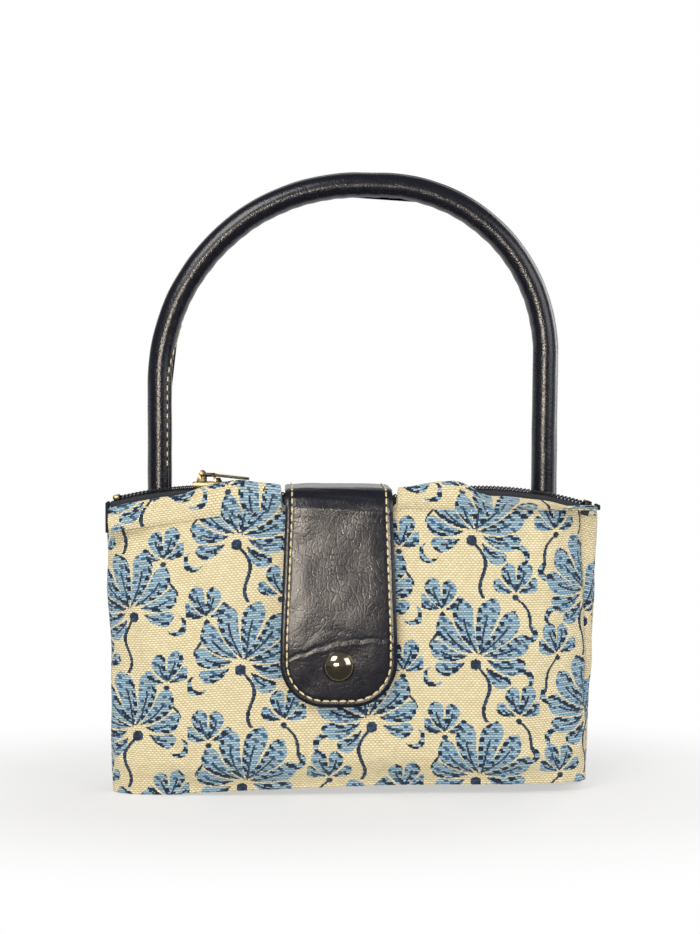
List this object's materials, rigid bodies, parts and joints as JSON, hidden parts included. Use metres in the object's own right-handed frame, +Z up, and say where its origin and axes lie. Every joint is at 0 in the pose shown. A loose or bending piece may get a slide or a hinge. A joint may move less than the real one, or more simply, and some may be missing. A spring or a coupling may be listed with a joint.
{
  "type": "carpet bag",
  "caption": "Tapestry carry bag folded to a packet, with a zipped front pocket, a leather closure tab on a press stud and rolled leather handles that fold down.",
  "frame": {"origin": "middle of the width on the base, on the floor plane, below the front fold layer", "axes": "+X to the right of the front face, +Y to the back, +Z up along the handles"},
  "size_m": [0.2458, 0.0576, 0.308],
  "materials": {
    "tapestry": "woven tapestry, cream and blue",
    "lining": "plain weave",
    "zip_tape": "herringbone tape",
    "zip_coil": "nylon coil",
    "zip_metal": "antique gunmetal plating",
    "leather": "semi-matt navy leather",
    "stud_metal": "polished nickel plating",
    "core_cord": "twisted cotton cord"
  },
  "bodies": {
    "bag": {"folded_shopper": "tapestry", "front_panel": "tapestry", "pocket_lining": "lining", "front_band": "tapestry", "band_binding": "zip_tape", "zip_tape_front": "zip_tape", "zip_tape_back": "zip_tape", "zip_coil_front": "zip_coil", "zip_coil_back": "zip_coil", "zip_top_stops": "zip_metal", "zip_bottom_stop": "zip_metal", "tab_strap_face": "leather", "tab_strap_backing": "leather", "stud_post": "stud_metal", "stud_rivet": "stud_metal", "handle_front_ends": "leather", "handle_back_ends": "leather"},
    "slider": {"zip_slider": "zip_metal"},
    "pull": {"zip_pull": "zip_metal"},
    "tab_flap": {"tab_flap_face": "leather", "tab_flap_backing": "leather", "stud_cap": "stud_metal", "stud_socket": "stud_metal"},
    "front_handle": {"handle_front_cover": "leather", "handle_front_core": "core_cord"},
    "back_handle": {"handle_back_cover": "leather", "handle_back_core": "core_cord"}
  },
  "joints": [
    {"name": "handle_front_swing", "type": "hinge", "parent": "bag", "child": "front_handle", "pos_m": [0, 0.0025, 0.168], "axis": [1, 0, 0], "range_deg": [0, 90]},
    {"name": "handle_back_swing", "type": "hinge", "parent": "bag", "child": "back_handle", "pos_m": [0.001, 0.0155, 0.168], "axis": [-1, 0, 0], "range_deg": [0, 90]},
    {"name": "tab_open", "type": "hinge", "parent": "bag", "child": "tab_flap", "pos_m": [-0.0075, -0.02365, 0.14046], "axis": [-1, 0, 0], "range_deg": [0, 165]},
    {"name": "zip_slide", "type": "hinge", "parent": "bag", "child": "slider", "pos_m": [-0.07, -0.011, -0.032], "axis": [0, 1, 0], "range_deg": [-10.1, 2.7]},
    {"name": "zip_pull_swing", "type": "hinge", "parent": "slider", "child": "pull", "pos_m": [-0.07391, -0.011, 0.15839], "axis": [0, -1, 0], "range_deg": [0, 192]}
  ]
}
